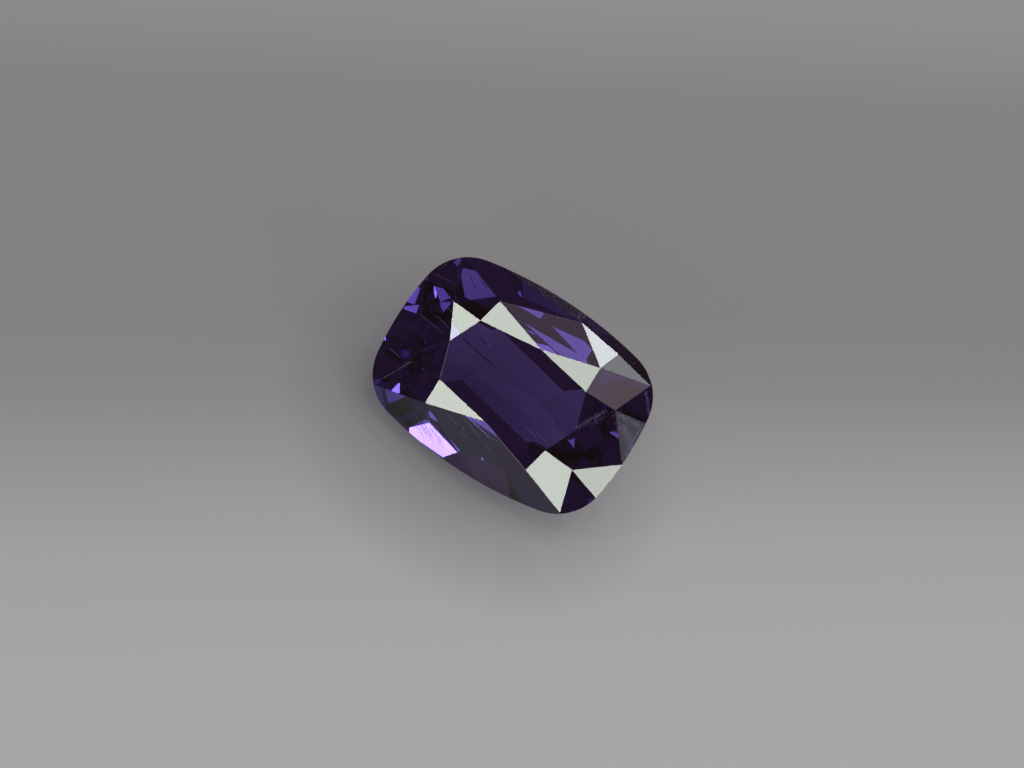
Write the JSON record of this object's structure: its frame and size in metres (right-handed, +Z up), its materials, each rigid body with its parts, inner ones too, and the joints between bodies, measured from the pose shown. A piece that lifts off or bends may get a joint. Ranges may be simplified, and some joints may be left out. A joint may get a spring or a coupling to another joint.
{
  "type": "faceted sapphire",
  "caption": "Cushion-cut violet-blue sapphire with a faceted crown, a broad ground girdle and a stepped pavilion, lying on one side of its pavilion.",
  "frame": {"origin": "on the surface the stone lies on, under the middle of its bounding box", "axes": "+X along the stone's long axis, +Z up; the table faces up and towards -Y"},
  "size_m": [0.014, 0.0084, 0.0078],
  "materials": {
    "sapphire": "polished facets, ground girdle"
  },
  "bodies": {
    "root": {"sapphire": "sapphire"}
  },
  "joints": []
}
